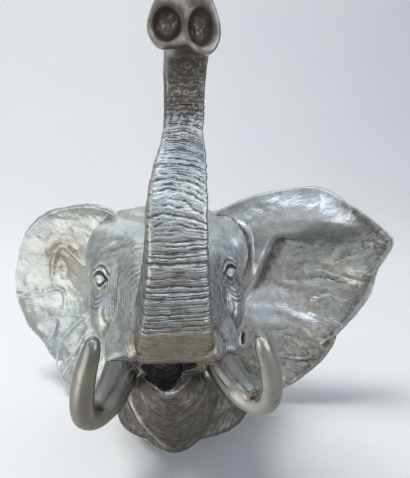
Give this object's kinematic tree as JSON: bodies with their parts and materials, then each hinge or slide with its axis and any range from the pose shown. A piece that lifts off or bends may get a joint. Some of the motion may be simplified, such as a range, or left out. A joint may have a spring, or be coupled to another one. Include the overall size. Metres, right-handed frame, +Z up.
{
  "type": "elephant head sculpture",
  "caption": "Cast aluminium elephant head on a flat-cut neck, trunk raised, ears spread wide and two upturned tusks set in their sockets.",
  "frame": {"origin": "in the flat cut under the neck, on the head's plane of symmetry, 43 mm behind the front of the cut", "axes": "+Z up; the head faces -Y; the head's own left ear and tusk are at +X"},
  "size_m": [0.4947, 0.3388, 0.4785],
  "materials": {
    "cast_skin": "cast, brushed and lightly polished on the high places, grey and brown dirt left in the folds",
    "tusk_metal": "smooth, satin, a little warmer and darker than the head"
  },
  "bodies": {
    "root": {"head_casting": "cast_skin", "tusk_left": "tusk_metal", "tusk_right": "tusk_metal"}
  },
  "joints": []
}
